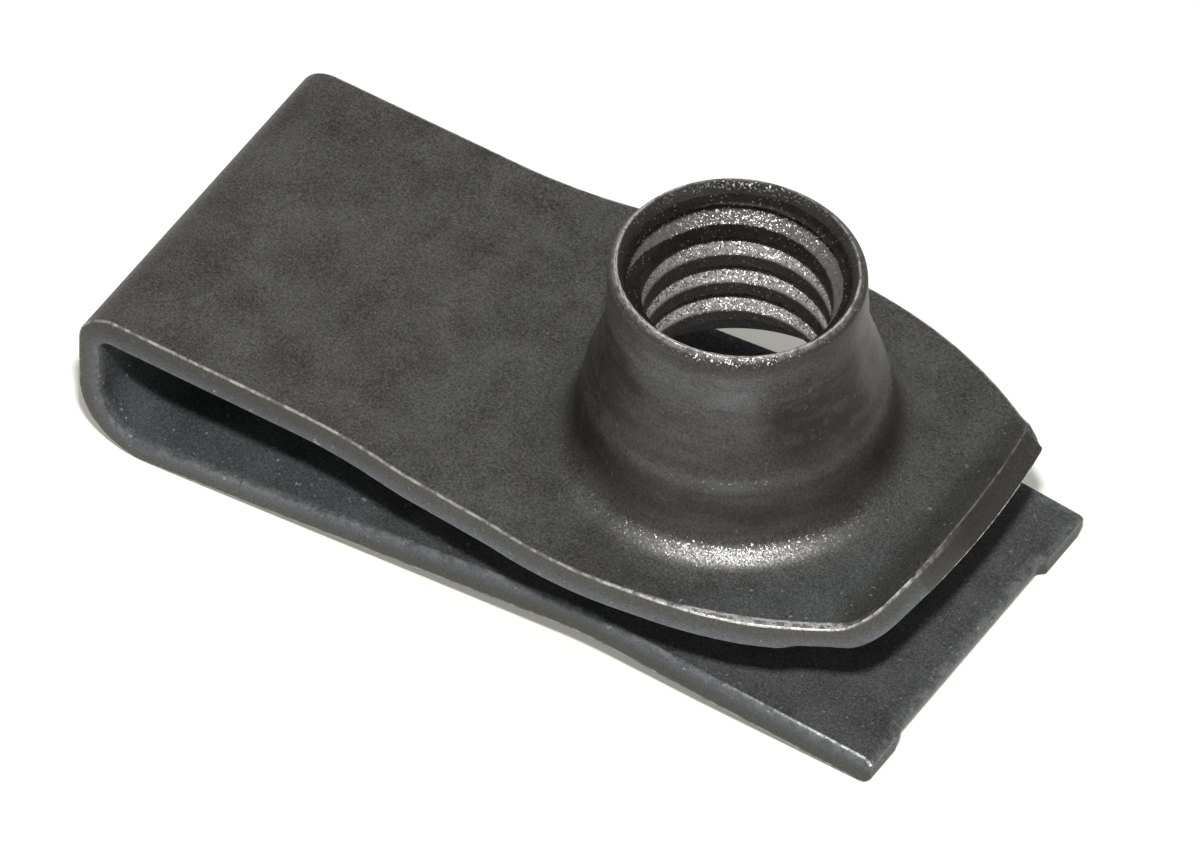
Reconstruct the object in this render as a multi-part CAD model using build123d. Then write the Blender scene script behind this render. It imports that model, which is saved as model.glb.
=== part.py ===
from build123d import *
from math import atan2, cos, radians, sin, sqrt, tan
import os

# A U clip speed nut for a 5/16 in, 18 threads to the inch screw: one strip of spring steel, drawn,
# tapped, blanked and folded. X runs from the closed end towards the open mouth, Y across the strip.
# The origin is on the screw's axis, half way through the lower leaf. Lengths are in millimetres.

# The strip
sheet = 0.95
strip_width = 15.0
end_inside = 22.25            # from the screw's axis back to the inside of the closed end

# The fold, measured on the outside of the sheet
end_height = 6.48             # the top leaf's line over the table, carried back to the closed end
upper_fold_radius = 1.5
lower_fold_radius = 2.75

# The lower leaf, arched up under the barrel
tip_x = 10.15
arch_x = -1.7
arch_height = 1.2
arch_radius = 12.0
screw_clearance_radius = 4.75

# The lower leaf's tip
tip_width = 14.75
tip_taper = 7.0
tip_corner_radius = 0.6
notch_width = 9.2
notch_depth = 0.3
notch_flank = 0.6

# The top leaf: level under its head, and a little higher at the fold
leaf_height = 5.97
level_start_x = -10.0
level_blend_radius = 40.0
head_width = 18.1
head_x = -1.7
head_start_x = -12.9
head_side_radius = 19.5

# The nose of the top leaf, turned up as a lead-in
lip_x = 8.25
lip_angle = 25.0
lip_radius = 1.2
nose_length = 1.45
nose_crown_radius = 28.0
nose_corner_radius = 0.9

# The barrel's outside, drawn up out of the head in two stages
rim_height = 8.48             # over the top leaf
rim_radius = 4.62
rim_round = 0.15
neck_radius = 4.74
neck_length = 2.9
neck_fillet = 3.0
shoulder_radius = 5.5
shoulder_height = 3.15
shoulder_round = 1.5
base_radius = 6.06
foot_fillet = 2.0

# The barrel's inside: a bore at the thread's minor diameter over a funnel of even wall
thread_minor_radius = 3.36
bore_height = 2.55            # where the bore opens into the funnel, over the top leaf
funnel_height = 1.95
funnel_fillet = 0.3
drawn_wall = 0.78
mouth_radius = 4.2
mouth_depth = 1.8

end_x = -end_inside - sheet
leaf_underside = leaf_height - sheet
slot_middle = (leaf_underside + arch_height + sheet) / 2
datum_height = arch_height * tip_x / (tip_x - arch_x) + sheet / 2
lip = radians(lip_angle)
lip_plane = Plane((lip_x, 0, leaf_height), x_dir=(cos(lip), 0, sin(lip)), z_dir=(-sin(lip), 0, cos(lip)))


def lower_corner_height():
    """Height where the lower leaf's line meets the closed end, for a fold whose lowest point is at 0."""
    back = arch_x - end_x - lower_fold_radius
    up = arch_height - lower_fold_radius
    lean = atan2(up, back) + atan2(lower_fold_radius, sqrt(back**2 + up**2 - lower_fold_radius**2))
    return arch_height - (arch_x - end_x) * tan(lean)


def side_profile():
    """The folded sheet from the side, a little past the tip and the nose, which are blanked afterwards."""
    turns = [
        ((arch_x, arch_height), arch_radius),
        ((end_x, lower_corner_height()), lower_fold_radius),
        ((end_x, end_height), upper_fold_radius),
        ((level_start_x, leaf_height), level_blend_radius),
        ((lip_x, leaf_height), lip_radius),
    ]
    past_tip = (tip_x + sheet, -sheet * arch_height / (tip_x - arch_x))
    past_nose = lip_plane.from_local_coords((nose_length + sheet, 0, 0))
    line = Polyline(past_tip, *[corner for corner, _ in turns], (past_nose.X, past_nose.Z))
    for corner, radius in turns:
        line = fillet(line.vertices().sort_by_distance(Vector(*corner))[0], radius)
    return make_face(line.offset_2d(sheet, side=Side.RIGHT))


def mirrored(half):
    """A closed outline from its half on the +Y side, which starts and ends on the X axis."""
    return make_face([*half.edges(), *mirror(half, Plane.XZ).edges()])


def top_outline():
    """The top leaf from above, past its nose: straight sides that swell to the head."""
    side = strip_width / 2
    widest = head_width / 2
    swell = ((head_start_x + head_x) / 2, (side + widest) / 2)
    front_x = lip_x + nose_length + 2 * sheet
    drop = head_side_radius - sqrt(head_side_radius**2 - (front_x - head_x) ** 2)
    back = Polyline((end_x - sheet, 0), (end_x - sheet, side), (head_start_x, side))
    hollow = TangentArc((head_start_x, side), swell, tangent=(1, 0))
    rise = TangentArc(swell, (head_x, widest), tangent=hollow % 1)
    head = TangentArc((head_x, widest), (front_x, widest - drop), tangent=(1, 0))
    front = Line((front_x, widest - drop), (front_x, 0))
    return mirrored(Wire([*back.edges(), hollow, rise, head, front]))


def lower_outline():
    """The lower leaf from above: it tapers a little to the tip, which has a shallow notch."""
    side = strip_width / 2
    tip = tip_width / 2
    notch = notch_width / 2
    half = Polyline(
        (end_x - sheet, 0),
        (end_x - sheet, side),
        (tip_x - tip_taper, side),
        (tip_x, tip),
        (tip_x, notch),
        (tip_x - notch_depth, notch - notch_flank),
        (tip_x - notch_depth, 0),
    )
    corner = half.vertices().sort_by_distance(Vector(tip_x, tip))[0]
    return mirrored(fillet(corner, tip_corner_radius))


def folded_strip():
    """The strip blanked to its outline and folded into a U."""
    strip = extrude(Plane.XZ * side_profile(), head_width, both=True)
    middle = Plane.XY.offset(slot_middle)
    above = extrude(middle * top_outline(), rim_height)
    below = extrude(middle * lower_outline(), -rim_height)
    return trim_nose(strip & (above + below))


def trim_nose(strip):
    """Cuts the nose to its convex front edge, square to the turned-up lip, and rounds its corners."""
    kept = Pos(nose_length - nose_crown_radius, 0) * Circle(nose_crown_radius)
    front = Pos(nose_length, 0) * Rectangle(4 * sheet + nose_length, 2 * head_width)
    strip -= extrude(lip_plane * (front - kept), 2 * sheet, both=True)
    corners = [
        edge
        for edge in strip.edges()
        if edge.center().X > lip_x and abs((edge % 0.5).dot(lip_plane.z_dir)) > cos(lip)
    ]
    return fillet(corners, nose_corner_radius)


def barrel():
    """The drawn barrel: a wall in two stages round a bore with a tapered mouth and a funnel under it."""
    rim = leaf_height + rim_height
    shoulder = leaf_height + shoulder_height
    lean = (base_radius - shoulder_radius) / shoulder_height
    foot_radius = base_radius + foot_fillet
    corners = [
        ((mouth_radius, rim), rim_round),
        ((rim_radius, rim), rim_round),
        ((neck_radius, rim - neck_length), neck_fillet),
        ((shoulder_radius, shoulder), shoulder_round),
        ((base_radius, leaf_height), foot_fillet),
        ((foot_radius, leaf_height), 0),
        ((foot_radius, leaf_underside), 0),
        ((base_radius + lean * sheet - drawn_wall, leaf_underside), foot_fillet + drawn_wall),
        ((shoulder_radius - drawn_wall, leaf_height + funnel_height), funnel_fillet),
        ((thread_minor_radius, leaf_height + bore_height), 0),
        ((thread_minor_radius, rim - mouth_depth), 0),
    ]
    wall = make_face(Polyline(*[point for point, _ in corners], close=True))
    for point, radius in corners:
        if radius:
            wall = fillet(wall.vertices().sort_by_distance(Vector(*point))[0], radius)
    return revolve(Plane.XZ * wall, Axis.Z)


def round_punch(radius, travel):
    """A punch on the screw's axis, from the middle of the slot up, or down where its travel is negative."""
    return extrude(Plane.XY.offset(slot_middle) * Circle(radius), travel)


def clip():
    """The whole clip: the folded strip, the barrel in its head, and the hole in its lower leaf."""
    head_hole = round_punch(base_radius + foot_fillet, leaf_height)
    screw_hole = round_punch(screw_clearance_radius, -leaf_height)
    return folded_strip() - head_hole - screw_hole + barrel()


os.makedirs("parts", exist_ok=True)
export_step(Pos(0, 0, -datum_height) * clip(), "parts/clip_nut.step")
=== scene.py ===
import math

import bmesh
import bpy
import numpy as np
from mathutils import Matrix, Vector


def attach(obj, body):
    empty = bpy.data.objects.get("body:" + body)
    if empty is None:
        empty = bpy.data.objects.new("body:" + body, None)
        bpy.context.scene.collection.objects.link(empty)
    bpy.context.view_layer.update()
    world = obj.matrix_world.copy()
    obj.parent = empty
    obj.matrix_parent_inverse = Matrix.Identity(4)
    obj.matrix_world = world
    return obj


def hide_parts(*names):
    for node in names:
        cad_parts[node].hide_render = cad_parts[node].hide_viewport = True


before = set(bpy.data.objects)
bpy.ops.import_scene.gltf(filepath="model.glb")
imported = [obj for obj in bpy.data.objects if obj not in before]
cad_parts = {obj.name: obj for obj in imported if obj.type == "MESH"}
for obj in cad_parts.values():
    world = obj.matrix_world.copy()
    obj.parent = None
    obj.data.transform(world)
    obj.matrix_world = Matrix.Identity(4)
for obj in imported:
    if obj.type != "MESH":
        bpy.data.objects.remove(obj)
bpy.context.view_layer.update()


# The blank and its folds. The real clip is one blank of spring steel, about a millimetre thick, folded
# in a press into a U: its line runs here from the lower leaf's tip, round the closed end, to the nose.
# Sizes are in millimetres, with heights over the table that the clip lies on.
MM = 0.001
TABLE_HEIGHT = -1.50285
SHEET = 0.95
END_X = -23.2
LIP_X = 8.25
LIP_ANGLE = math.radians(25.0)
LIP_LENGTH = 1.45
LEAF = 5.97
LINE_STEP = 0.05
PAST_LIP = 3.0

# The corners of the sheet's outer face, which the bends round off: (X, height, radius)
FOLDED_LINE = [
    (10.12, 0.003, 0.0),
    (-1.7, 1.38, 12.0),
    (END_X, -0.182, 2.75),
    (END_X, 6.48, 1.5),
    (-10.0, LEAF, 40.0),
    (LIP_X, LEAF, 1.2),
    (LIP_X + PAST_LIP * math.cos(LIP_ANGLE), LEAF + PAST_LIP * math.sin(LIP_ANGLE), 0.0),
]


def rounded_line(corners, step=LINE_STEP):
    """Points along a line whose corners are arcs: each corner is (across, up, radius)."""
    path = [np.array(corners[0][:2])]
    for before, here, after in zip(corners, corners[1:], corners[2:]):
        middle = np.array(here[:2])
        back = np.array(before[:2]) - middle
        ahead = np.array(after[:2]) - middle
        back = back / np.hypot(*back)
        ahead = ahead / np.hypot(*ahead)
        if here[2] == 0.0:
            path.append(middle)
            continue
        turn = math.pi - math.acos(np.clip(back @ ahead, -1.0, 1.0))
        reach = here[2] * math.tan(turn / 2)
        centre = middle + (back + ahead) / np.hypot(*(back + ahead)) * math.hypot(reach, here[2])
        first = middle + back * reach - centre
        last = middle + ahead * reach - centre
        count = max(4, int(here[2] * turn / step))
        for part in np.linspace(0.0, 1.0, count + 1):
            way = np.sin((1 - part) * turn) * first + np.sin(part * turn) * last
            path.append(centre + way / math.sin(turn))
    path.append(np.array(corners[-1][:2]))
    path = np.array(path)
    run = np.concatenate([[0.0], np.cumsum(np.hypot(*np.diff(path, axis=0).T))])
    even = np.linspace(0.0, run[-1], int(run[-1] / step) + 1)
    return np.stack([np.interp(even, run, path[:, 0]), np.interp(even, run, path[:, 1])], 1), even


line, line_run = rounded_line(FOLDED_LINE)
line_way = np.gradient(line, axis=0)
line_way /= np.hypot(*line_way.T)[:, None]
line_out = np.stack([-line_way[:, 1], line_way[:, 0]], 1)
end_index = int(np.argmin(line[:, 0]))


def along_lower(x):
    """How far along the line the lower leaf reaches a given X."""
    return np.interp(-np.asarray(x), -line[: end_index + 1, 0], line_run[: end_index + 1])


def along_top(x):
    """How far along the line the top leaf reaches a given X."""
    return np.interp(x, line[end_index + 1 :, 0], line_run[end_index + 1 :])


def folded(run, across, depth):
    """Where points of the flat blank, by run, width and depth under its outer face, lie once folded."""
    out = np.stack([np.interp(run, line_run, line_out[:, k]) for k in (0, 1)], -1)
    out /= np.hypot(out[..., 0], out[..., 1])[..., None]
    x = np.interp(run, line_run, line[:, 0]) - depth * out[..., 0]
    z = np.interp(run, line_run, line[:, 1]) - depth * out[..., 1]
    return np.stack([x, np.broadcast_to(across, x.shape), z], -1)


# The outline of the blank: straight along the strip, swelling to the head, then a convex nose; the
# other end has two small tabs. It is blanked from the slot's side: the die rolled the inner arris and
# left the outer one crisp, with a small burr. The nose was parted from the other side, a little askew.
STRIP_HALF = 7.5
TIP_HALF = 7.375
TIP_TAPER_X = 3.15
TIP_TAPER_BEND = 8.0
NOTCH_DEPTH = 0.3
RIM_IN = 0.36
BURR_ROUND = 0.035
BURR_BACK = 0.09
ROLL_IN = 0.2
ROLL_DEEP = 0.3
ROLL_WORN = 0.25
CELL_BACK_X = -10.5
CELL_BACK_LOWER_X = -7.5

# The nose was parted from just past the lip's bend, and past the burr on its near side
PARTED_BACK = 0.3
PARTED_FROM = 0.55
PARTED_BLEND = 0.1
PARTED_ACROSS = [-3.0, -2.85, 0.2]
PARTED_SHARES = [0.0, 0.45, 1.0]
PARTED_SLOPE = 1.3
PARTED_DULL = 0.3
# The nose's inner arris is worn bright, with a painted highlight
PARTED_WEAR_HIGHLIGHT = 2.2

# The side of the top leaf, from the closed end to the nose: (X, half width, corner radius)
HEAD_SIDE = [(-24.0, 7.5, 0.0), (-12.0, 7.5, 22.0), (2.88, 10.05, 18.5), (10.6, 4.65, 0.0)]
HEAD_MOST = 9.04
HEAD_FRONT_X = 10.4
NOSE_CROWN = 28.0
NOSE_CORNER_FAR = 0.15
NOSE_CORNER_NEAR = 0.95

# The outlines are drawn finely first, then spread into points that stand closer round the corners
OUTLINE_STEP = 0.02
SIDE_POINTS = 900
CROWN_POINTS = 300
FINE_STEP = 0.01
BEND_WINDOW = 31
STRAIGHT_ENDS = 20
SIDE_STEP = 0.25
CORNER_SHARE = 0.16
CORNER_POINTS = 24
NEAR_WINDOW = 9
WIDE_WINDOW = 61


def blanked_section():
    """The cut face in section, from the outer skin in: (inset, depth, cut, worn)."""
    rows = [(BURR_BACK, 0.0, 0.0, 0.0)]
    for turn in np.radians((0.0, 30.0, 60.0, 90.0)):
        inset = BURR_ROUND * (1 - math.sin(turn))
        rows.append((inset, BURR_ROUND * (1 - math.cos(turn)), math.sin(turn), 1.0))
    rows.append((0.0, BURR_BACK, 1.0, 0.0))
    for share in (0.25, 0.6):
        depth = BURR_ROUND + share * (SHEET - ROLL_DEEP - BURR_ROUND)
        rows.append((0.0, depth, 1.0, 0.0))
    for turn in np.radians((0.0, 17.0, 32.0, 46.0, 60.0, 75.0, 90.0)):
        inset = ROLL_IN * (1 - math.cos(turn))
        depth = SHEET - ROLL_DEEP * (1 - math.sin(turn))
        rows.append((inset, depth, math.cos(turn), ROLL_WORN * math.sin(turn)))
    return np.array(rows)


def parted_section():
    """The nose's end face in as many rows: its outer arris is set back and its inner one crisp."""
    rows = [
        (PARTED_BACK + 0.06, 0.0, 0.0, 0.0),
        (PARTED_BACK + 0.01, 0.0, 0.3, PARTED_DULL),
        (PARTED_BACK - 0.01, 0.02, 1.0, PARTED_DULL),
    ]
    for share in np.linspace(0.06, 0.94, 9):
        rows.append((PARTED_BACK * (1 - share) ** PARTED_SLOPE, SHEET * share, 1.0, 0.0))
    for inset, short in ((0.0, 0.04), (0.012, 0.012), (0.05, 0.0)):
        rows.append((inset, SHEET - short, 0.6, PARTED_WEAR_HIGHLIGHT))
    return np.array(rows)


def parted_share(edge):
    """How far each point of the head's edge has the parted section: along the nose, past its burr."""
    along_nose = np.clip((edge[:, 0] - lip_run - PARTED_FROM) / PARTED_BLEND, 0.0, 1.0)
    return along_nose * np.interp(edge[:, 1], PARTED_ACROSS, PARTED_SHARES)


head_side = rounded_line(HEAD_SIDE, OUTLINE_STEP)[0]


def head_half(x):
    """Half the width of the top leaf at X."""
    return np.minimum(np.interp(x, head_side[:, 0], head_side[:, 1]), HEAD_MOST)


def softened(first, last, reach):
    """Two lines that meet at the end of the first, with the corner between them cut to an arc."""
    corner = first[-1]
    lead = first[np.hypot(*(first - corner).T) > reach]
    tail = last[np.hypot(*(last - corner).T) > reach]
    t = np.linspace(0.0, 1.0, CORNER_POINTS)[1:-1, None]
    bend = (1 - t) ** 2 * lead[-1] + 2 * t * (1 - t) * corner + t**2 * tail[0]
    return np.concatenate([lead, bend, tail])


lip_run = along_top(LIP_X)
lip_end = lip_run + LIP_LENGTH


def nose_edge(across):
    """How far along the line the nose's edge lies."""
    return lip_end - NOSE_CROWN + np.sqrt(NOSE_CROWN**2 - across**2)


def head_outline():
    """The blank's edge round the head, from where its rings begin on the far side to the near side."""
    x = np.linspace(CELL_BACK_X, HEAD_FRONT_X, SIDE_POINTS)
    side = np.stack([along_top(x), head_half(x)], 1)
    side = side[side[:, 0] < nose_edge(side[:, 1])]
    across = np.linspace(side[-1, 1], 0.0, CROWN_POINTS)
    crown = np.stack([nose_edge(across), across], 1)
    side = np.concatenate([side, crown[:1]])
    far = softened(side, crown, NOSE_CORNER_FAR)
    near = softened(side, crown, NOSE_CORNER_NEAR) * np.array([1.0, -1.0])
    return np.concatenate([far, near[::-1][1:]])


def tip_outline():
    """The blank's edge round the lower tip, from where its rings begin on the near side to the far."""
    back_run = along_lower(CELL_BACK_LOWER_X)
    taper_run = along_lower(TIP_TAPER_X)
    corners = [
        (back_run, -STRIP_HALF, 0.0),
        (taper_run, -STRIP_HALF, TIP_TAPER_BEND),
        (0.0, -TIP_HALF, 0.3),
        (0.0, -5.5, 0.12),
        (NOTCH_DEPTH, -4.9, 0.2),
        (NOTCH_DEPTH, 4.7, 0.2),
        (0.0, 5.0, 0.12),
        (0.0, TIP_HALF, 0.25),
        (taper_run, STRIP_HALF, TIP_TAPER_BEND),
        (back_run, STRIP_HALF, 0.0),
    ]
    return rounded_line(corners, OUTLINE_STEP)[0]


def spread(outline):
    """An outline's points at a step that tightens round its corners, with their inward directions."""
    run = np.concatenate([[0.0], np.cumsum(np.hypot(*np.diff(outline, axis=0).T))])
    fine = np.linspace(0.0, run[-1], int(run[-1] / FINE_STEP) + 1)
    path = np.stack([np.interp(fine, run, outline[:, k]) for k in (0, 1)], 1)
    heading = np.unwrap(np.arctan2(*np.gradient(path, axis=0).T[::-1]))
    window = np.hanning(BEND_WINDOW) / np.hanning(BEND_WINDOW).sum()
    bend = np.abs(np.convolve(np.gradient(heading), window, "same"))
    bend[:STRAIGHT_ENDS] = 0.0
    bend[-STRAIGHT_ENDS:] = 0.0
    weight = np.cumsum(FINE_STEP / SIDE_STEP + bend / CORNER_SHARE)
    count = int(weight[-1])
    chosen = np.interp(np.linspace(0.0, weight[-1], count + 1), weight, np.arange(len(weight)))
    chosen[0], chosen[-1] = 0, len(path) - 1
    inward = []
    for width in (NEAR_WINDOW, WIDE_WINDOW):
        ends = [np.full(width // 2, heading[k]) for k in (0, -1)]
        padded = np.concatenate([ends[0], heading, ends[1]])
        smooth = np.convolve(padded, np.ones(width) / width, "valid")
        angle = np.interp(chosen, np.arange(len(smooth)), smooth)
        inward.append(np.stack([np.sin(angle), -np.cos(angle)], 1))
    points = np.stack([np.interp(chosen, np.arange(len(path)), path[:, k]) for k in (0, 1)], 1)
    return points, inward[0], inward[1]


def edge_point(edge, near, wide, inset):
    """Points of the blank a little in from its edge, square to it there and to its run further in."""
    inset = np.broadcast_to(inset, len(edge))[:, None]
    share = np.clip(inset / RIM_IN, 0.0, 1.0)
    way = near * (1 - share) + wide * share
    way = way / np.hypot(way[:, 0], way[:, 1])[:, None]
    return edge + way * inset


head_edge, head_near, head_wide = spread(head_outline())
tip_edge, tip_near, tip_wide = spread(tip_outline())


# The clip's two ends, in the same sheet. The head's hole was drawn up into the barrel, and the lower
# leaf's was punched for the screw to pass, so each end is laid as rings from its hole to its edge.
COLUMNS = 40
skin_points = []
skin_faces = []
FINISHES = ("cut", "worn", "bored", "drawn", "ironed", "burnished", "glint", "inner", "mark")
skin_finish = {name: [] for name in FINISHES}


def place(points, **finish):
    """Adds points to the skin, with their finish, and returns their numbers in the same layout."""
    shape = points.shape[:-1]
    first = sum(len(part) for part in skin_points)
    skin_points.append(points.reshape(-1, 3))
    for name, values in skin_finish.items():
        values.append(np.broadcast_to(finish.get(name, 0.0), shape).reshape(-1))
    return np.arange(first, first + len(skin_points[-1])).reshape(shape)


def weave(rows, closed):
    """Four-sided faces between neighbouring rows of points."""
    rows = np.asarray(rows)
    if closed:
        rows = np.concatenate([rows, rows[:, :1]], 1)
    quads = np.stack([rows[:-1, :-1], rows[:-1, 1:], rows[1:, 1:], rows[1:, :-1]], -1)
    skin_faces.append(quads.reshape(-1, 4))


def ringed(edge, near, wide, back_run, centre_run, hole_radius, rings):
    """Flat places of the rings from a hole to the inset edge, and their angles about the hole."""
    border = edge_point(edge, near, wide, RIM_IN)
    border[0, 0] = border[-1, 0] = back_run
    back = np.linspace(border[-1], border[0], COLUMNS + 1)[1:-1]
    border = np.concatenate([border, back])
    angle = np.arctan2(border[:, 1], border[:, 0] - centre_run)
    hole = np.stack([centre_run + hole_radius * np.cos(angle), hole_radius * np.sin(angle)], 1)
    share = np.linspace(0.0, 1.0, rings)[:, None, None]
    return hole * (1 - share) + border * share, angle


FOOT_REACH = 7.65
HEAD_RINGS = 12

# Painted shade on the lip from a little before its bend, where it turns up away from the lamp, and a
# darker patch on the near edge in front of the barrel
LIP_SHADE_FROM = 0.9
LIP_SHADE_FULL = 0.1
LIP_SHADE = 0.45
NEAR_EDGE_DARK_ACROSS = -7.9
NEAR_EDGE_DARK_HALF = (2.2, 1.2)
NEAR_EDGE_DARK = 0.4

# A painted cool cast of reflected light: full on the inner faces, less at the lower leaf's tip, and on
# the top leaf growing towards the nose and the near side
COOLER_SLOPE = 0.6
COOLER_RUN = [0.0, 9.0]
COOLER_SHARES = [0.1, 0.7]
TIP_COOLER = 0.6

head_centre = along_top(0.0)
head_plan, head_angle = ringed(
    head_edge, head_near, head_wide, along_top(CELL_BACK_X), head_centre, FOOT_REACH, HEAD_RINGS
)
head_run, head_across = head_plan[..., 0], head_plan[..., 1]
lip_shade_runs = [lip_run - LIP_SHADE_FROM, lip_run - LIP_SHADE_FULL]
head_dark = np.interp(head_run, lip_shade_runs, [0.0, LIP_SHADE])
run_off = (head_run - head_centre) / NEAR_EDGE_DARK_HALF[0]
across_off = (head_across - NEAR_EDGE_DARK_ACROSS) / NEAR_EDGE_DARK_HALF[1]
head_dark = head_dark + NEAR_EDGE_DARK * np.exp(-run_off**2 - across_off**2)
head_cooler = head_run - head_centre - COOLER_SLOPE * head_across
head_cooler = np.interp(head_cooler, COOLER_RUN, COOLER_SHARES)
head_outer = place(folded(head_run, head_across, 0.0), ironed=head_dark, inner=head_cooler)
head_inner = place(folded(head_run, head_across, SHEET), inner=1.0)
weave(head_outer, True)
weave(head_inner, True)

SCREW_HOLE = 4.75
TIP_RINGS = 12
tip_centre = along_lower(0.0)
tip_back_run = along_lower(CELL_BACK_LOWER_X)
tip_plan, tip_angle = ringed(
    tip_edge, tip_near, tip_wide, tip_back_run, tip_centre, SCREW_HOLE + RIM_IN, TIP_RINGS
)
tip_outer = place(folded(tip_plan[..., 0], tip_plan[..., 1], 0.0))
tip_inner = place(folded(tip_plan[..., 0], tip_plan[..., 1], SHEET), inner=TIP_COOLER)
weave(tip_outer, True)
weave(tip_inner, True)

hole_rows = [tip_outer[0]]
for inset, depth, cut, worn in blanked_section():
    reach = SCREW_HOLE + inset
    points = folded(tip_centre + reach * np.cos(tip_angle), reach * np.sin(tip_angle), depth)
    hole_rows.append(place(points, cut=cut, worn=worn))
hole_rows.append(tip_inner[0])
weave(hole_rows, True)


# The strip between the two ends, in the same sheet, bent twice in the press to make the closed end. Its
# rows of faces stand closer together where its line turns.
ROW_STEP = 0.42
FOLD_ROW_STEP = 0.16
COOLER_REACH = 9.0
start_run = float(along_lower(CELL_BACK_LOWER_X))
end_run = float(along_top(CELL_BACK_X))
turning = np.abs(np.gradient(np.unwrap(np.arctan2(line_way[:, 1], line_way[:, 0])), line_run))
row_weight = np.cumsum(LINE_STEP * (1 / ROW_STEP + np.minimum(turning, 1.0) / FOLD_ROW_STEP))
limits = np.interp([start_run, end_run], line_run, row_weight)
row_runs = np.interp(np.linspace(*limits, int(limits[1] - limits[0]) + 1), row_weight, line_run)[1:-1]


def strip_half(run):
    """Half the strip's width along the line."""
    x = np.interp(run, line_run, line[:, 0])
    return np.where(run > line_run[end_index], head_half(x), STRIP_HALF)


half = strip_half(row_runs)
spread_columns = np.linspace(-1.0, 1.0, COLUMNS + 1)
strip_across = spread_columns[None, :] * (half[:, None] - RIM_IN)
strip_run = np.repeat(row_runs[:, None], COLUMNS + 1, 1)
strip_outer = place(folded(strip_run, strip_across, 0.0))
# The painted cool cast of reflected light grows along the strip from the lower leaf's tip
strip_cooler = np.interp(strip_run, [start_run, start_run + COOLER_REACH], [TIP_COOLER, 1.0])
strip_inner = place(folded(strip_run, strip_across, SHEET), inner=strip_cooler)

head_sides = len(head_edge)
tip_sides = len(tip_edge)


def back_row(ring, sides):
    """The points along a ring's straight back, from one side of the strip to the other."""
    return np.concatenate([ring[sides - 1 :], ring[:1]])


for strip, head, tip in ((strip_outer, head_outer, tip_outer), (strip_inner, head_inner, tip_inner)):
    head_back = back_row(head[-1], head_sides)
    tip_back = back_row(tip[-1], tip_sides)[::-1]
    weave(np.concatenate([tip_back[None], strip, head_back[None]]), False)


# The cut faces, all the way round the blank. The shear left the top leaf's leaning out downwards, most
# along the near side, and the lower leaf's too, except at its tip, which is undercut. The burr beside
# the nose's near corner is worn bright with a painted highlight, and a bit of that corner was torn up.
LEAN_ACROSS = [-7.3, -7.0]
LEANS = [0.30, 0.08]
LEAN_LOWER_X = [-7.0, -15.0]
LEANS_LOWER = [-0.16, 0.16]
LEAN_LOWER_FAR = 0.2
LOWER_SIDE_ACROSS = 5.0
UNDERCUT = 0.25
TIP_SET_BACK = 0.04
TIP_FROM_X = 9.5
HEAD_SET_BACK = 0.24
HEAD_SET_BACK_X = [-9.0, -5.0, 1.0, 5.0]
HEAD_SIDE_ACROSS = -7.0

# Finish along the edge: the burr, the lower leaf's rubbed arris and the torn bit worn bright with
# painted highlights, and painted shade on some cut faces
BURR_BEFORE_LIP = [9.0, 5.6, 4.5, 0.5, -0.3]
BURR_SHARES = [0.0, 0.2, 1.0, 1.0, 0.1]
BURR_ACROSS = -5.0
BURR_WEAR_HIGHLIGHT = 3.0
BURR_WIDER = 0.5
ARRIS_WEAR_HIGHLIGHT_X = [10.0, 8.6, 6.0, 3.0]
ARRIS_WEAR_HIGHLIGHT_SHARES = [1.6, 1.2, 0.6, 0.0]
ARRIS_WEAR_HIGHLIGHT_ACROSS = -7.2
ARRIS_WEAR_HIGHLIGHT_DEEP = 0.02
TORN_HEIGHT = 0.13
TORN_WEAR_HIGHLIGHT = 1.6
TORN_ACROSS = [-6.3, -5.4, -3.2, -2.95]
TORN_SHARES = [0.0, 0.6, 1.0, 0.0]
CUT_SHADE_LOWER_X = -20.5
CUT_SHADE_GROWS = 2.0
CUT_SHADE_TOP_X = [-15.0, -7.0]
CUT_SHADE_SHARES = [0.2, 0.3, 0.3, 0.0]
CUT_SHADE_PARTED = 0.8
CUT_SHADE_TIP = 0.3
ARRIS_WORN = 0.5
BURR_ARRIS_WEAR_HIGHLIGHT = 2.5
COOLER_FROM_DEPTH = 0.5
COOLER_BLEND = 0.15

rim_edge = np.concatenate(
    [
        head_edge,
        np.stack([row_runs, -half], 1)[::-1],
        tip_edge,
        np.stack([row_runs, half], 1),
    ]
)
inward_right = np.tile([0.0, 1.0], (len(row_runs), 1))
rim_near = np.concatenate([head_near, inward_right, tip_near, -inward_right])
rim_wide = np.concatenate([head_wide, inward_right, tip_wide, -inward_right])
rim_outer = np.concatenate(
    [head_outer[-1][:head_sides], strip_outer[::-1, 0], tip_outer[-1][:tip_sides], strip_outer[:, -1]]
)
rim_inner = np.concatenate(
    [head_inner[-1][:head_sides], strip_inner[::-1, 0], tip_inner[-1][:tip_sides], strip_inner[:, -1]]
)
rim_run, rim_across = rim_edge[:, 0], rim_edge[:, 1]
at_tip = np.clip(rim_near[:, 0], 0.0, 1.0) * (rim_run < along_lower(TIP_FROM_X))
lean_lower = np.interp(rim_run, along_lower(LEAN_LOWER_X), LEANS_LOWER)
lean_lower = np.where(rim_across > LOWER_SIDE_ACROSS, LEAN_LOWER_FAR, lean_lower)
lean_lower = lean_lower + (UNDERCUT - lean_lower) * at_tip
lean = np.interp(rim_across, LEAN_ACROSS, LEANS)
lean = np.where(rim_run < line_run[end_index], lean_lower, lean)
swell = np.interp(rim_run, along_top(HEAD_SET_BACK_X), [0.0, 1.0, 1.0, 0.0])
set_back = HEAD_SET_BACK * swell * (rim_across < HEAD_SIDE_ACROSS)
set_back += TIP_SET_BACK * at_tip

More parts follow.
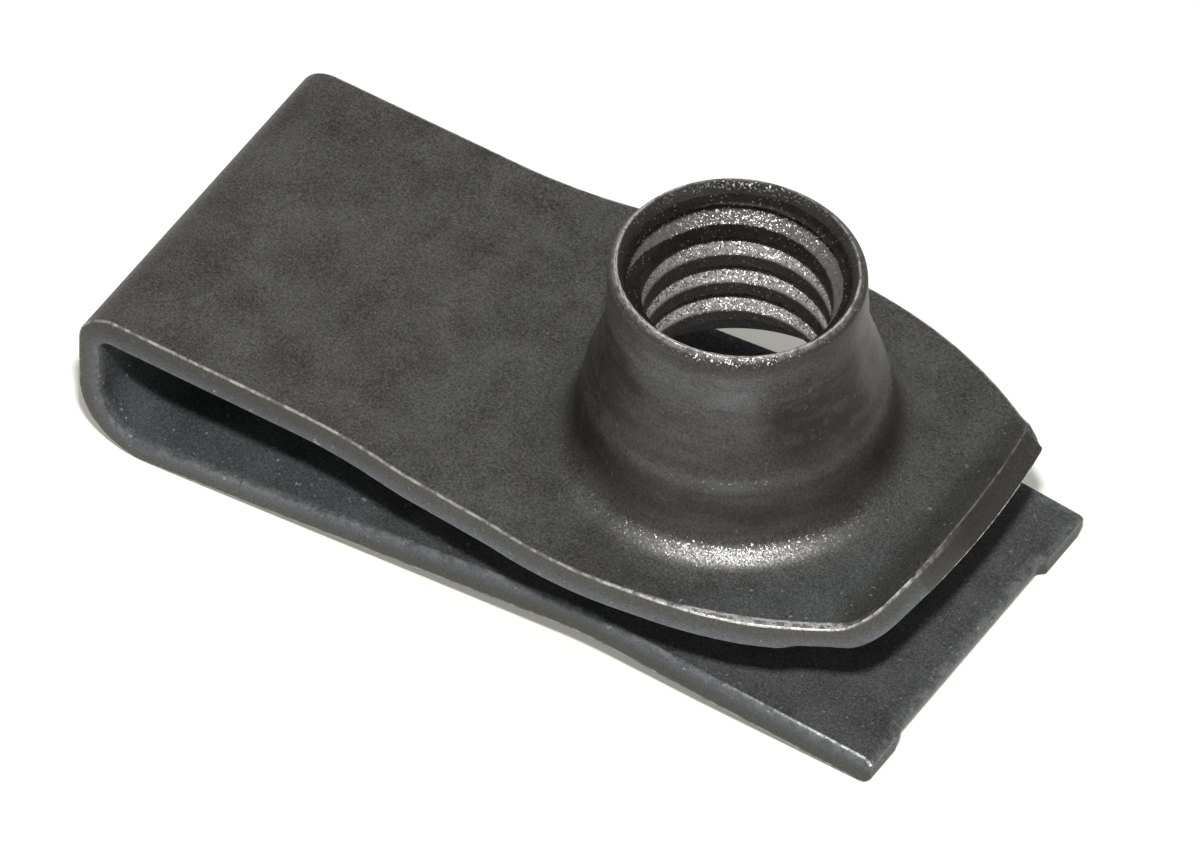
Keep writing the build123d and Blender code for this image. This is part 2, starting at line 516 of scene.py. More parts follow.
parted = np.concatenate([parted_share(head_edge), np.zeros(len(rim_edge) - len(head_edge))])
burred = np.interp(rim_run, lip_run - np.array(BURR_BEFORE_LIP), BURR_SHARES)
burred = burred * (rim_across < BURR_ACROSS)
torn = np.interp(rim_across, TORN_ACROSS, TORN_SHARES) * (rim_run > lip_run)
arris_wear_highlight = np.interp(rim_run, along_lower(ARRIS_WEAR_HIGHLIGHT_X), ARRIS_WEAR_HIGHLIGHT_SHARES) * (rim_across < ARRIS_WEAR_HIGHLIGHT_ACROSS)
lower_end = float(along_lower(CUT_SHADE_LOWER_X))
cut_shade_runs = [lower_end, lower_end + CUT_SHADE_GROWS, *along_top(CUT_SHADE_TOP_X)]
cut_shade = np.interp(rim_run, cut_shade_runs, CUT_SHADE_SHARES) + CUT_SHADE_PARTED * parted + CUT_SHADE_TIP * at_tip

rim_rows = [rim_outer]
for blanked_row, parted_row in zip(blanked_section(), parted_section()):
    rows = blanked_row * (1 - parted[:, None]) + parted_row * parted[:, None]
    inset, depth, cut, worn = rows.T
    cooler = np.clip((depth / SHEET - COOLER_FROM_DEPTH) / COOLER_BLEND, 0.0, 1.0) * (1 - parted)
    at_burr = burred * (depth < BURR_BACK)
    worn = worn * (ARRIS_WORN + BURR_ARRIS_WEAR_HIGHLIGHT * burred * (depth < SHEET / 2))
    worn = np.maximum(worn, BURR_WEAR_HIGHLIGHT * at_burr)
    inset = inset * (1.0 + BURR_WIDER * at_burr)
    lifted = np.interp(depth, [0.0, BURR_BACK], [1.0, 0.0])
    lifted = lifted * np.interp(inset, [0.0, BURR_BACK], [1.0, 0.0])
    depth = depth - TORN_HEIGHT * torn * lifted
    worn = np.maximum(worn, TORN_WEAR_HIGHLIGHT * torn * lifted)
    worn = np.maximum(worn, arris_wear_highlight * (depth > SHEET - ARRIS_WEAR_HIGHLIGHT_DEEP))
    inset = inset + set_back - lean * (1 - parted) * np.minimum(depth / SHEET, 1.0)
    flat = edge_point(rim_edge, rim_near, rim_wide, inset)
    # Painted shade on some cut faces, and the painted cool cast of reflected light on their inner part
    finish = {"cut": cut, "worn": worn, "inner": cooler, "ironed": cut_shade * cut}
    rim_rows.append(place(folded(flat[:, 0], flat[:, 1], depth), **finish))
rim_rows.append(rim_inner)
weave(rim_rows, True)


# The barrel, drawn up out of the head in two stages: a wide base, a soft shoulder, then the neck. Its
# wall is thinner than the sheet, its rim was trimmed a little askew, and its mouth tapers to the
# thread. It is turned here from profiles: (radius, height, corner radius).
RIM = LEAF + 8.48
SHOULDER = LEAF + 3.15
MINOR = 3.36
BARREL_OUTSIDE = [
    (FOOT_REACH, LEAF, 0.0),
    (6.06, LEAF, 1.8),
    (5.5, SHOULDER, 1.5),
    (4.74, RIM - 2.9, 3.0),
    (4.65, RIM - 0.26, 0.22),
    (4.40, RIM, 0.07),
    (4.30, RIM - 0.01, 0.05),
    (4.16, RIM - 0.2, 0.1),
    (4.10, RIM - 0.38, 0.0),
]
BORE = [
    (4.10, RIM - 0.38, 0.0),
    (4.00, RIM - 0.70, 0.1),
    (3.48, RIM - 1.12, 0.1),
    (MINOR, RIM - 2.0, 0.5),
    (MINOR, LEAF + 2.55, 0.0),
]
BARREL_INSIDE = [
    (MINOR, LEAF + 2.55, 0.0),
    (4.72, LEAF + 1.95, 0.3),
    (5.45, LEAF - SHEET, 2.6),
    (FOOT_REACH, LEAF - SHEET, 0.0),
]
PROFILE_STEP = 0.01
BORE_STEP = 0.042
LONGEST_STEP = 0.32
PROFILE_TURN = 0.16
MOUTH_RADIUS = 4.3
BORE_END_RADIUS = 4.4

# By height over the top leaf: how smooth the drawing left the outside, and how dark it is, from the
# drawing's ironing and from painted shade
DRAWN_HEIGHTS = [0.0, 0.5, 1.1, 2.6, 3.1, 3.6, 4.2, 7.9, 8.3]
DRAWN_SHARES = [0.15, 0.2, 0.6, 0.7, 0.4, 0.6, 0.95, 1.0, 0.2]
IRONED_AND_SHADE_HEIGHTS = [0.3, 0.9, 1.3, 2.4, 2.75, 3.05, 3.4, 3.7, 4.1, 5.2, 7.4, 8.0]
IRONED_AND_SHADE_SHARES = [0.0, 0.5, 0.7, 0.7, 0.45, 0.3, 0.35, 0.5, 0.35, 0.25, 0.0, 0.6]

# The tools burnished the foot and, a little, the shoulder. The foot's burnish is strongest on the side
# towards the lamp, which is a painted highlight
BURNISHED_HEIGHTS = [0.12, 0.28, 0.46, 0.66, 2.7, 3.05, 3.3]
BURNISHED_SHARES = [0.0, 1.0, 1.0, 0.0, 0.0, 0.05, 0.0]
GLINT_HEIGHTS = [0.12, 0.28, 0.55, 0.75, 2.8, 3.05, 3.3, 8.15, 8.32, 8.48]
GLINT_SHARES = [0.0, 0.5, 0.5, 0.0, 0.0, 0.1, 0.0, 0.0, 0.5, 0.5]
HIGHLIGHT_WAY = -59.0
HIGHLIGHT_TURN = 28.0
FAR_TURN = 50.0
FOOT_TOP = 2.0
RIM_FROM = 8.0
FOOT_BURNISH = (0.02, 0.84)
SPARKLE = (0.1, 0.9)
FAR_SPARKLE = 0.6

# The rest of its finish, where it doesn't change with height
# The barrel's outside takes a little of the painted cool cast of reflected light
OUTSIDE_COOLER = 0.3
MOUTH_FINISH = {"drawn": 0.8, "ironed": 0.7, "bored": 1.0}
BORE_FINISH = {"bored": 1.0, "drawn": 0.4, "ironed": 0.75, "glint": 0.05}
BORE_UNDER_RIM = [1.9, 2.7]
BORE_DARKER = [-0.8, 0.0]
FUNNEL_FINISH = {"drawn": 0.4, "inner": 1.0}

# The rim's rolled ridge is rubbed bright, with a painted highlight strongest towards the near side
RIDGE_WAY = math.radians(-95.0)
RIDGE_DEEP = 0.05
RIDGE_RADIUS = 4.37
RIDGE_HALF = 0.04
RIDGE_WEAR_HIGHLIGHT = (1.6, 1.2)

# Painted shade and painted highlight patches on the barrel, where it turns from or towards the lamp,
# and two plain marks round the back: (azimuth, height over the leaf, half turn, half height, lighter or
# darker)
PAINTED_PATCHES = [
    (-124.0, 5.2, 26.0, 1.8, -1.1),
    (-133.0, 2.3, 24.0, 1.3, -1.1),
    (-7.0, 4.7, 32.0, 1.4, -1.2),
    (10.0, 2.0, 24.0, 1.0, -0.8),
    (-34.0, 5.6, 16.0, 1.0, -0.6),
    (-16.0, 6.9, 26.0, 1.0, -0.5),
    (12.0, 5.6, 8.0, 2.0, 0.8),
    (-61.0, 6.7, 12.0, 0.9, 0.9),
    (-88.0, 6.9, 18.0, 1.0, 0.35),
    (-62.0, 3.05, 13.0, 0.22, 0.8),
    (95.0, 5.2, 30.0, 1.1, -0.7),
    (-96.0, 0.0, 16.0, 0.3, -0.35),
    (150.0, 6.4, 20.0, 1.0, 0.5),
]

# The rim was trimmed askew: it stands a little higher on the side towards the closed end
RIM_SKEW = 0.27
RIM_RISE = 0.06
SKEW_WAY = math.radians(187.0)
SKEW_FROM = RIM - 2.4


def thinned(path):
    """A line's points where it turns, and now and then where it doesn't."""
    way = np.gradient(path, axis=0)
    turn = np.abs(np.gradient(np.unwrap(np.arctan2(way[:, 1], way[:, 0]))))
    step = np.hypot(*way.T)
    weight = np.cumsum(step / LONGEST_STEP + turn / PROFILE_TURN)
    count = int(weight[-1] - weight[0])
    chosen = np.interp(np.linspace(weight[0], weight[-1], count + 1), weight, np.arange(len(path)))
    return np.stack([np.interp(chosen, np.arange(len(path)), path[:, k]) for k in (0, 1)], 1)


outside = thinned(rounded_line(BARREL_OUTSIDE, PROFILE_STEP)[0])
inside = thinned(rounded_line(BARREL_INSIDE, PROFILE_STEP)[0])
bore = rounded_line(BORE, BORE_STEP)[0][1:-1]


def turned(radius, height, **finish):
    """A ring of points round the screw's axis, skewed as the rim is where it is near it."""
    near_rim = np.clip((height - SKEW_FROM) / (RIM - SKEW_FROM), 0.0, 1.0) ** 2
    heights = height + near_rim * (RIM_RISE + RIM_SKEW * np.cos(head_angle - SKEW_WAY))
    across = [radius * np.cos(head_angle), radius * np.sin(head_angle)]
    return place(np.stack([*across, heights], 1), **finish)


def turn_from(azimuth):
    """Each point's turn from an azimuth, in degrees, the shorter way round."""
    return (np.degrees(head_angle) - azimuth + 180.0) % 360.0 - 180.0


def painted_patches(over_leaf):
    """How much lighter or darker the painted shade and highlight patches leave each point of a ring at
    a height over the leaf.
    """
    total = np.zeros(len(head_angle))
    for azimuth, height, half_turn, half_height, strength in PAINTED_PATCHES:
        turn_off = (turn_from(azimuth) / half_turn) ** 2
        total += strength * np.exp(-turn_off - ((over_leaf - height) / half_height) ** 2)
    return np.clip(total, -1.0, 1.0)


off_highlight = turn_from(HIGHLIGHT_WAY)
lamp_side_share = np.exp(-((off_highlight / HIGHLIGHT_TURN) ** 2))
far_share = np.exp(-(((np.abs(off_highlight) - 180.0) / FAR_TURN) ** 2))
foot_burnish = FOOT_BURNISH[0] + FOOT_BURNISH[1] * lamp_side_share
near_sparkle = SPARKLE[0] + SPARKLE[1] * lamp_side_share
rim_sparkle = SPARKLE[0] + SPARKLE[1] * lamp_side_share**3 + FAR_SPARKLE * far_share
ridge_worn = RIDGE_WEAR_HIGHLIGHT[0] + RIDGE_WEAR_HIGHLIGHT[1] * np.cos(head_angle - RIDGE_WAY)
barrel_rows = [head_outer[0]]
in_mouth = False
for radius, height in outside[1:]:
    in_mouth = in_mouth or (radius < MOUTH_RADIUS and height > SHOULDER)
    over_leaf = height - LEAF
    finish = {"inner": OUTSIDE_COOLER}
    if in_mouth:
        finish.update(MOUTH_FINISH)
    else:
        finish["drawn"] = np.interp(over_leaf, DRAWN_HEIGHTS, DRAWN_SHARES)
        finish["ironed"] = np.interp(over_leaf, IRONED_AND_SHADE_HEIGHTS, IRONED_AND_SHADE_SHARES)
        finish["mark"] = painted_patches(over_leaf)
    burnish = foot_burnish if over_leaf < FOOT_TOP else 1.0
    finish["burnished"] = np.interp(over_leaf, BURNISHED_HEIGHTS, BURNISHED_SHARES) * burnish
    sparkle = rim_sparkle if over_leaf > RIM_FROM else near_sparkle
    finish["glint"] = np.interp(over_leaf, GLINT_HEIGHTS, GLINT_SHARES) * sparkle
    if height > RIM - RIDGE_DEEP:
        finish["worn"] = ridge_worn * math.exp(-(((radius - RIDGE_RADIUS) / RIDGE_HALF) ** 2))
    barrel_rows.append(turned(radius, height, **finish))
for radius, height in bore:
    darker_mark = np.interp(RIM - height, BORE_UNDER_RIM, BORE_DARKER)
    barrel_rows.append(turned(radius, height, mark=darker_mark, **BORE_FINISH))
for radius, height in inside[:-1]:
    in_bore = float(radius < BORE_END_RADIUS)
    barrel_rows.append(turned(radius, height, bored=in_bore, **FUNNEL_FINISH))
barrel_rows.append(head_inner[0])
weave(barrel_rows, True)

# The whole skin as one closed mesh
clip_mesh = bpy.data.meshes.new("clip")
clip_points = np.concatenate(skin_points)
clip_points = (clip_points + np.array([0.0, 0.0, TABLE_HEIGHT])) * MM
clip_mesh.from_pydata(clip_points.tolist(), [], np.concatenate(skin_faces).tolist())
for name, values in skin_finish.items():
    attribute = clip_mesh.attributes.new(name, "FLOAT", "POINT")
    attribute.data.foreach_set("value", np.concatenate(values).astype(np.float32))
shell = bmesh.new()
shell.from_mesh(clip_mesh)
bmesh.ops.recalc_face_normals(shell, faces=shell.faces)
shell.to_mesh(clip_mesh)
shell.free()
clip = bpy.data.objects.new("clip", clip_mesh)
bpy.context.scene.collection.objects.link(clip)
for polygon in clip_mesh.polygons:
    polygon.use_smooth = True


# The finish: black phosphate on spring steel. It is a dark, dry coat of fine crystals that glitter a
# little, rubbed brighter along the arrises, with painted highlights, painted shade and painted sheen in
# places, and a painted cool cast of reflected light on the cut and inner faces.
coat = bpy.data.materials.new("black_phosphate")
coat.use_nodes = True
nodes = coat.node_tree.nodes
links = coat.node_tree.links
shader = nodes["Principled BSDF"]


def node(kind, **settings):
    """A node of the finish, with its settings."""
    made = nodes.new(kind)
    for key, value in settings.items():
        setattr(made, key, value)
    return made


def feed(made, **inputs):
    """Sets a node's sockets by name: a number or colour is set, a socket is linked."""
    for key, value in inputs.items():
        numbered = key[0] == "i" and key[1:].isdigit()
        target = made.inputs[int(key[1:]) if numbered else key.replace("_", " ")]
        if isinstance(value, bpy.types.NodeSocket):
            links.new(value, target)
        else:
            target.default_value = value
    return made


coordinates = node("ShaderNodeTexCoord")
in_mm = node("ShaderNodeVectorMath", operation="SCALE")
in_mm = feed(in_mm, Vector=coordinates.outputs["Object"], Scale=1000.0).outputs["Vector"]


def noise(scale, detail, roughness, spot=in_mm):
    """Noise whose grains are about 1 / scale millimetres across."""
    made = node("ShaderNodeTexNoise")
    feed(made, Vector=spot, Scale=scale, Detail=detail, Roughness=roughness)
    return made.outputs["Fac"]


def between(value, low, high, to_low=0.0, to_high=1.0):
    """Maps a value from one range to another."""
    made = node("ShaderNodeMapRange")
    feed(made, Value=value, From_Min=low, From_Max=high, To_Min=to_low, To_Max=to_high)
    return made.outputs["Result"]


def mixed(share, first, second):
    """A mix of two colours."""
    made = feed(node("ShaderNodeMix", data_type="RGBA"), i0=share, i6=first, i7=second)
    return made.outputs[2]


def times(first, second):
    """The product of two values."""
    return feed(node("ShaderNodeMath", operation="MULTIPLY"), i0=first, i1=second).outputs[0]


def plus(first, second):
    """The sum of two values, kept from 0 to 1."""
    return feed(node("ShaderNodeMath", operation="ADD", use_clamp=True), i0=first, i1=second).outputs[0]


def held(name):
    """A value that the clip's points hold."""
    return node("ShaderNodeAttribute", attribute_name=name).outputs["Fac"]


# The coat is olive, with a painted cool cast of reflected light (slate) on the inner faces. The tools
# left it ironed, rubbed or cut through, and it is darkened further by painted shade
OLIVE_DARK = (0.036, 0.035, 0.030, 1.0)
OLIVE = (0.142, 0.141, 0.129, 1.0)
SLATE_DARK = (0.036, 0.038, 0.041, 1.0)
SLATE = (0.122, 0.127, 0.134, 1.0)
CUT_OLIVE = (0.100, 0.101, 0.091, 1.0)
CUT_SLATE = (0.135, 0.145, 0.160, 1.0)
IRONED_AND_SHADE_COLOUR = (0.028, 0.026, 0.020, 1.0)
WEAR_HIGHLIGHT_COLOUR = (0.78, 0.77, 0.74, 1.0)
SPECK = (0.34, 0.34, 0.33, 1.0)
STEEL = (0.42, 0.415, 0.40, 1.0)
BLACK_DUST_AND_SHADE = (0.010, 0.009, 0.007, 1.0)
PAINTED_SHEEN = (0.19, 0.20, 0.215, 1.0)
PAINTED_FLANK_HIGHLIGHT = (0.40, 0.385, 0.355, 1.0)
COAT_IOR = 1.28
GRAIN_HEIGHT = 0.00004
CRYSTALS_PER_MM = 19.0
PORES_PER_MM = 21.0
RINGS_PER_MM = (0.3, 0.3, 1.7)

grain = noise(10.0, 4.0, 0.85)
mottle = noise(0.45, 3.0, 0.6)
tone = between(plus(times(grain, 0.75), times(mottle, 0.25)), 0.38, 0.60)
cut = held("cut")
worn = held("worn")
drawn = held("drawn")
inner = held("inner")
colour = mixed(inner, mixed(tone, OLIVE_DARK, OLIVE), mixed(tone, SLATE_DARK, SLATE))
colour = mixed(times(cut, 0.85), colour, mixed(inner, CUT_OLIVE, CUT_SLATE))
colour = mixed(held("ironed"), colour, IRONED_AND_SHADE_COLOUR)

# Rings that the drawing left round the barrel, and the painted shade and painted highlight patches over
# them
ring_spot = feed(node("ShaderNodeVectorMath", operation="MULTIPLY"), i0=in_mm, i1=RINGS_PER_MM)
ring_tone = between(noise(1.0, 3.0, 0.6, ring_spot.outputs[0]), 0.35, 0.65, -0.3, 0.26)
ring_tone = times(ring_tone, drawn)
blotches = between(noise(1.7, 6.0, 0.85), 0.3, 0.7, 0.45, 1.5)
patch_tone = node("ShaderNodeMath", operation="MULTIPLY_ADD")
feed(patch_tone, i0=held("mark"), i1=blotches, i2=ring_tone)
darker = between(patch_tone.outputs[0], 0.0, -1.0, 0.0, 0.86)
lighter = between(patch_tone.outputs[0], 0.0, 1.0, 0.0, 0.5)
colour = mixed(darker, colour, BLACK_DUST_AND_SHADE)
colour = mixed(lighter, colour, PAINTED_SHEEN)
# Light specks, most on the inner faces, as dust with painted glitter
specks = between(noise(4.3, 1.0, 0.5), 0.72, 0.75)
colour = mixed(times(specks, between(inner, 0.3, 0.9, 0.15, 0.9)), colour, SPECK)

# The coat's pores, as fine black dust
colour = mixed(between(noise(PORES_PER_MM, 2.0, 0.6), 0.34, 0.62, 0.55, 0.0), colour, BLACK_DUST_AND_SHADE)

# Single crystals that are bare and bright: many on the thread's flanks, the foot and the rim, most on
# the side towards the lamp, where its highlight falls
flank = held("flank")
crystals = node("ShaderNodeTexVoronoi")
feed(crystals, Vector=in_mm, Scale=CRYSTALS_PER_MM)
crystal = node("ShaderNodeSeparateColor")
feed(crystal, i0=crystals.outputs["Color"])
glints = plus(held("glint"), times(flank, 0.8))
bare = feed(node("ShaderNodeMath", operation="MULTIPLY_ADD"), i0=glints, i1=0.6, i2=crystal.outputs[2])
bare = between(bare.outputs[0], 1.0, 1.03)
metal = plus(times(held("burnished"), between(grain, 0.3, 0.6, 0.7, 1.0)), times(bare, 0.8))
# The thread's flanks get a painted highlight, weaker near the mouth, and its roots painted shade
colour = mixed(times(flank, between(held("mark"), -1.0, 0.0, 0.1, 0.9)), colour, PAINTED_FLANK_HIGHLIGHT)
colour = mixed(between(held("sunk"), 0.85, 0.97, 0.0, 0.8), colour, BLACK_DUST_AND_SHADE)
colour = mixed(metal, colour, STEEL)
# Worn arrises and burrs are rubbed bright, with painted highlights on them
wear_highlight = times(worn, between(noise(2.6, 4.0, 0.7), 0.42, 0.58, 0.2, 1.0))
colour = mixed(wear_highlight, colour, WEAR_HIGHLIGHT_COLOUR)

# Each crystal of the coat leans its own way, least where the drawing ironed the sheet smooth
tilt = node("ShaderNodeVectorMath", operation="SUBTRACT")
tilt = feed(tilt, i0=crystals.outputs["Color"], i1=(0.5, 0.5, 0.5))
tilt_by = plus(between(drawn, 0.0, 1.0, 0.40, 0.12), times(glints, 0.4))
tilt = feed(node("ShaderNodeVectorMath", operation="SCALE"), i0=tilt.outputs[0], Scale=tilt_by)
face_way = node("ShaderNodeNewGeometry").outputs["Normal"]
facing = feed(node("ShaderNodeVectorMath", operation="ADD"), i0=face_way, i1=tilt.outputs[0])
facing = feed(node("ShaderNodeVectorMath", operation="NORMALIZE"), i0=facing.outputs[0])
bump = node("ShaderNodeBump")
feed(bump, Distance=GRAIN_HEIGHT, Height=grain, Normal=facing.outputs[0])
feed(bump, Strength=between(drawn, 0.0, 1.0, 0.4, 0.15))
gloss = between(glints, 0.0, 0.8, between(held("burnished"), 0.0, 0.5, 0.42, 0.5), 0.34)
feed(shader, Base_Color=colour, Roughness=gloss, Normal=bump.outputs["Normal"])
feed(shader, Metallic=plus(times(wear_highlight, 0.5), metal))
shader.inputs["IOR"].default_value = COAT_IOR


# The thread, 18 to the inch, right-handed, cut by a tap after the barrel was drawn. The tap only takes
# away what stands inside its own form, so the thread runs out by itself in the mouth and the funnel.
FLANK_SHARPNESS = 5.0
TAP_SIZES = {
    "Pitch": 1.4111 * MM,
    "Minor Radius": MINOR * MM,
    "Root Radius": 3.98 * MM,
    "Crest Share": 0.376,
    "Root Share": 0.125,
    "Crest Height": (12.92 + TABLE_HEIGHT) * MM,
    "Crest Turn": 121.5 / 360.0,
}


def tap_tree():
    """Geometry nodes that push a bore's wall out to a tap's form."""
    tree = bpy.data.node_groups.new("tapped_thread", "GeometryNodeTree")
    tree.interface.new_socket("Geometry", in_out="INPUT", socket_type="NodeSocketGeometry")
    for name in TAP_SIZES:
        tree.interface.new_socket(name, in_out="INPUT", socket_type="NodeSocketFloat")
    tree.interface.new_socket("Geometry", in_out="OUTPUT", socket_type="NodeSocketGeometry")
    parts = tree.nodes
    inlet = parts.new("NodeGroupInput")
    outlet = parts.new("NodeGroupOutput")

    def math_node(operation, *values, clamp=False):
        made = parts.new("ShaderNodeMath")
        made.operation = operation
        made.use_clamp = clamp
        for k, value in enumerate(values):
            if isinstance(value, bpy.types.NodeSocket):
                tree.links.new(value, made.inputs[k])
            else:
                made.inputs[k].default_value = value
        return made.outputs[0]

    spot = parts.new("GeometryNodeInputPosition")
    split = parts.new("ShaderNodeSeparateXYZ")
    tree.links.new(spot.outputs[0], split.inputs[0])
    x, y, z = split.outputs
    square = math_node("ADD", math_node("MULTIPLY", x, x), math_node("MULTIPLY", y, y))
    radius = math_node("SQRT", square)
    turn = math_node("DIVIDE", math_node("ARCTAN2", y, x), 2 * math.pi)
    turn = math_node("SUBTRACT", turn, inlet.outputs["Crest Turn"])
    climb = math_node("SUBTRACT", z, inlet.outputs["Crest Height"])
    climb = math_node("DIVIDE", climb, inlet.outputs["Pitch"])
    phase = math_node("FRACT", math_node("ADD", math_node("SUBTRACT", climb, turn), 0.5))
    off_crest = math_node("MULTIPLY", math_node("ABSOLUTE", math_node("SUBTRACT", phase, 0.5)), 2.0)
    flats = math_node("ADD", inlet.outputs["Crest Share"], inlet.outputs["Root Share"])
    past_crest = math_node("SUBTRACT", off_crest, inlet.outputs["Crest Share"])
    sunk = math_node("DIVIDE", past_crest, math_node("SUBTRACT", 1.0, flats), clamp=True)
    depth = math_node("SUBTRACT", inlet.outputs["Root Radius"], inlet.outputs["Minor Radius"])
    tapped = math_node("ADD", inlet.outputs["Minor Radius"], math_node("MULTIPLY", sunk, depth))
    wider = math_node("MAXIMUM", radius, tapped)
    wider = math_node("DIVIDE", wider, math_node("MAXIMUM", radius, 1e-6))
    moved = parts.new("ShaderNodeCombineXYZ")
    tree.links.new(math_node("MULTIPLY", x, wider), moved.inputs[0])
    tree.links.new(math_node("MULTIPLY", y, wider), moved.inputs[1])
    tree.links.new(z, moved.inputs[2])
    bored = parts.new("GeometryNodeInputNamedAttribute")
    bored.data_type = "FLOAT"
    bored.inputs["Name"].default_value = "bored"
    is_bore = parts.new("FunctionNodeCompare")
    is_bore.data_type = "FLOAT"
    is_bore.operation = "GREATER_THAN"
    tree.links.new(bored.outputs["Attribute"], is_bore.inputs[0])
    is_bore.inputs[1].default_value = 0.5
    on_flank = math_node("MINIMUM", sunk, math_node("SUBTRACT", 1.0, sunk))
    on_flank = math_node("MULTIPLY", on_flank, FLANK_SHARPNESS, clamp=True)
    is_cut = math_node("GREATER_THAN", tapped, radius)
    is_cut = math_node("MULTIPLY", is_cut, bored.outputs["Attribute"])
    geometry = inlet.outputs["Geometry"]
    for name, value in (("flank", on_flank), ("sunk", sunk)):
        kept = parts.new("GeometryNodeStoreNamedAttribute")
        kept.data_type = "FLOAT"
        kept.domain = "POINT"
        kept.inputs["Name"].default_value = name
        tree.links.new(geometry, kept.inputs["Geometry"])
        tree.links.new(math_node("MULTIPLY", value, is_cut), kept.inputs["Value"])
        geometry = kept.outputs["Geometry"]
    push = parts.new("GeometryNodeSetPosition")
    tree.links.new(geometry, push.inputs["Geometry"])
    tree.links.new(is_bore.outputs[0], push.inputs["Selection"])
    tree.links.new(moved.outputs[0], push.inputs["Position"])
    realize = parts.new("GeometryNodeRealizeInstances")
    finish = parts.new("GeometryNodeSetMaterial")
    finish.inputs["Material"].default_value = coat
    tree.links.new(push.outputs[0], realize.inputs[0])
    tree.links.new(realize.outputs[0], finish.inputs["Geometry"])
    tree.links.new(finish.outputs[0], outlet.inputs[0])
    return tree


tap = clip.modifiers.new("tap", "NODES")
tap.node_group = tap_tree()
for item in tap.node_group.interface.items_tree:
    if item.name in TAP_SIZES:
        tap[item.identifier] = TAP_SIZES[item.name]
graph = bpy.context.evaluated_depsgraph_get()
evaluated = clip.evaluated_get(graph)
tapped_mesh = bpy.data.meshes.new_from_object(evaluated, preserve_all_data_layers=True, depsgraph=graph)
clip.modifiers.remove(tap)
clip.data = tapped_mesh

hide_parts("clip_nut")
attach(clip, "root")


# The table that the clip lies on, topped with white paper. The paper is lit by the lamp, glows a little
# to the camera and in what mirrors it, and keeps the clip's shadow.
FLOOR_HALF = 1.5
PAPER = (0.92, 0.905, 0.86, 1.0)
PAPER_GLOW_COLOUR = (1.0, 0.97, 0.88, 1.0)
PAPER_GLOW = 0.20

floor_z = TABLE_HEIGHT * MM
floor_corners = [(-FLOOR_HALF, -FLOOR_HALF), (FLOOR_HALF, -FLOOR_HALF), (FLOOR_HALF, FLOOR_HALF)]
floor_corners.append((-FLOOR_HALF, FLOOR_HALF))
floor_mesh = bpy.data.meshes.new("table_top")
floor_mesh.from_pydata([(x, y, floor_z) for x, y in floor_corners], [], [(0, 1, 2, 3)])
table_top = bpy.data.objects.new("table_top", floor_mesh)
bpy.context.scene.collection.objects.link(table_top)


def wired(tree, kind, *values, **settings):
    """A node of the paper or the room, with its inputs in order."""
    made = tree.nodes.new(kind)
    for key, value in settings.items():
        setattr(made, key, value)
    for socket, value in zip(made.inputs, values):
        if isinstance(value, bpy.types.NodeSocket):
            tree.links.new(value, socket)
        else:
            socket.default_value = value
    return made.outputs[0]


def mirrored_rays(tree, rays):
    """1 for what is seen in a mirror or through glass, in the paper or the room."""
    glossy, through = rays["Is Glossy Ray"], rays["Is Transmission Ray"]
    return wired(tree, "ShaderNodeMath", glossy, through, operation="MAXIMUM")


paper = bpy.data.materials.new("white_paper")
paper.use_nodes = True
paper_tree = paper.node_tree
paper_shader = paper_tree.nodes["Principled BSDF"]
paper_shader.inputs["Base Color"].default_value = PAPER
paper_shader.inputs["Roughness"].default_value = 0.9
paper_shader.inputs["Specular IOR Level"].default_value = 0.0
paper_shader.inputs["Emission Color"].default_value = PAPER_GLOW_COLOUR
rays = paper_tree.nodes.new("ShaderNodeLightPath").outputs
mirrored = mirrored_rays(paper_tree, rays)
shown = wired(paper_tree, "ShaderNodeMath", rays["Is Camera Ray"], mirrored, operation="MAXIMUM")
glow = wired(paper_tree, "ShaderNodeMath", shown, PAPER_GLOW, operation="MULTIPLY")
paper_tree.links.new(glow, paper_shader.inputs["Emission Strength"])
floor_mesh.materials.append(paper)


# The room: white to the camera, white round the horizon where shiny things mirror it, and darker
# overhead. It is only air and light, so it has no mesh.
ROOM_LIGHT = 0.30
CEILING_FROM = 0.07
CEILING = 0.10

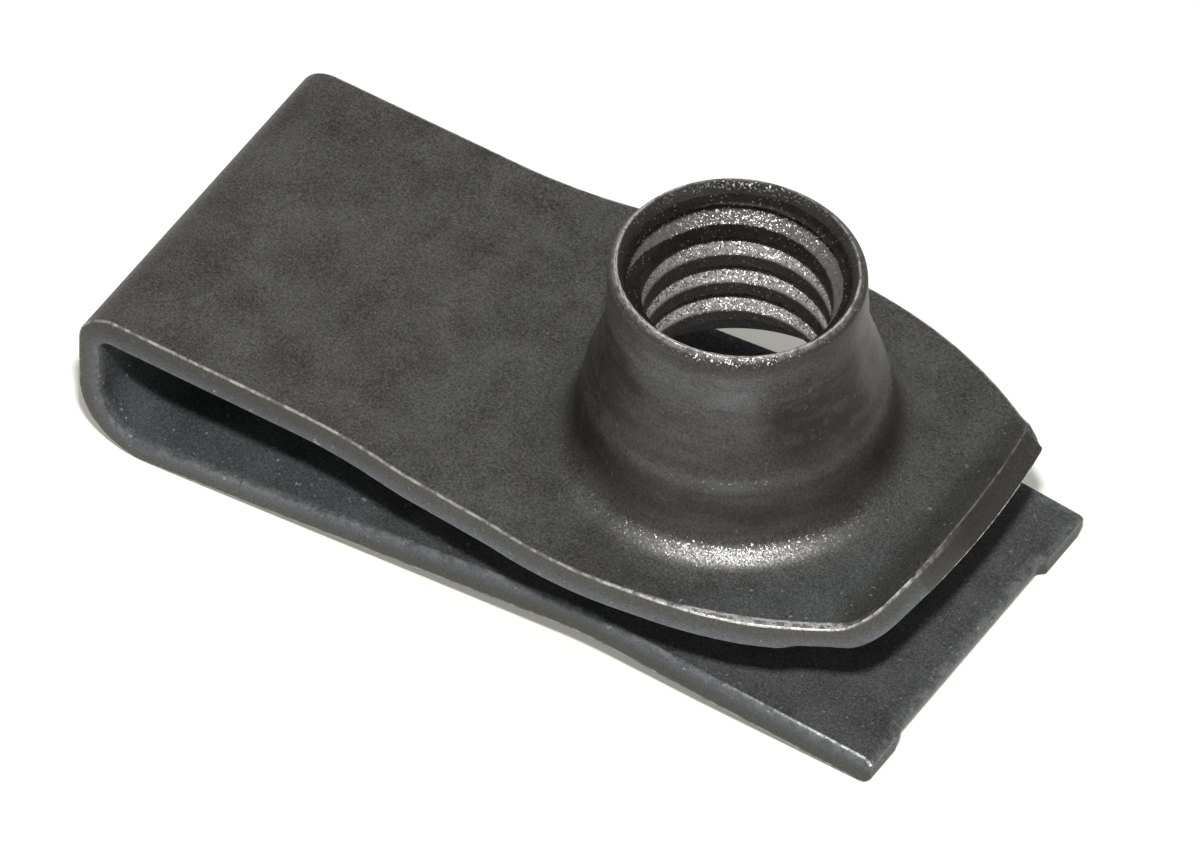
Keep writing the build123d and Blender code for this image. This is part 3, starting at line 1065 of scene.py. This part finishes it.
world = bpy.data.worlds.new("white_room")
bpy.context.scene.world = world
world.use_nodes = True
sky = world.node_tree
background = sky.nodes["Background"]
background.inputs["Color"].default_value = (1.0, 1.0, 1.0, 1.0)
rays = sky.nodes.new("ShaderNodeLightPath").outputs
looking = sky.nodes.new("ShaderNodeSeparateXYZ")
sky.links.new(sky.nodes.new("ShaderNodeTexCoord").outputs["Generated"], looking.inputs[0])
ceiling = wired(sky, "ShaderNodeMapRange", looking.outputs["Z"], 0.0, CEILING_FROM, 1.0, CEILING)
mirrored = mirrored_rays(sky, rays)
lit = wired(sky, "ShaderNodeMapRange", mirrored, 0.0, 1.0, ROOM_LIGHT, ceiling)
shown = wired(sky, "ShaderNodeMapRange", rays["Is Camera Ray"], 0.0, 1.0, lit, 1.0)
sky.links.new(shown, background.inputs["Strength"])


# The lamp, a small square soft box that stands on the near side and faces the clip. Its azimuth is
# counted from the open end, as seen from above.
LAMP_AZIMUTH = math.radians(-58.5)
LAMP_ELEVATION = math.radians(57.0)
LAMP_DISTANCE = 0.5
LAMP_SIDE = 0.03
LAMP_POWER = 2.35

light = bpy.data.lights.new("key", "AREA")
light.size = LAMP_SIDE
light.energy = LAMP_POWER
lamp = bpy.data.objects.new("key", light)
bpy.context.scene.collection.objects.link(lamp)
level = math.cos(LAMP_ELEVATION)
lamp_way = Vector(
    (level * math.cos(LAMP_AZIMUTH), level * math.sin(LAMP_AZIMUTH), math.sin(LAMP_ELEVATION))
)
lamp.location = lamp_way * LAMP_DISTANCE
lamp.rotation_euler = lamp_way.to_track_quat("Z", "Y").to_euler()


# The camera, as it was fitted to the photograph: far off with a long lens, looking down at the clip
# from the near side of its open end.
CAMERA_LENS = 755.8
CAMERA_SENSOR = 36.0
CAMERA_PLACE = (0.3276035, -0.5435474, 0.6478684)
CAMERA_RIGHT = Vector((0.84935421, 0.52779093, 0.00584494))
CAMERA_UP = Vector((-0.37917392, 0.60241211, 0.70237225))
CAMERA_FORWARD = Vector((-0.36718464, 0.59877908, -0.71178582))

camera_data = bpy.data.cameras.new("camera")
camera_data.sensor_width = CAMERA_SENSOR
camera_data.lens = CAMERA_LENS
camera = bpy.data.objects.new("camera", camera_data)
bpy.context.scene.collection.objects.link(camera)
camera_facing = Matrix((CAMERA_RIGHT, CAMERA_UP, -CAMERA_FORWARD)).transposed().to_4x4()
camera.matrix_world = Matrix.Translation(CAMERA_PLACE) @ camera_facing
bpy.context.scene.camera = camera

bpy.context.scene.view_settings.view_transform = "Standard"
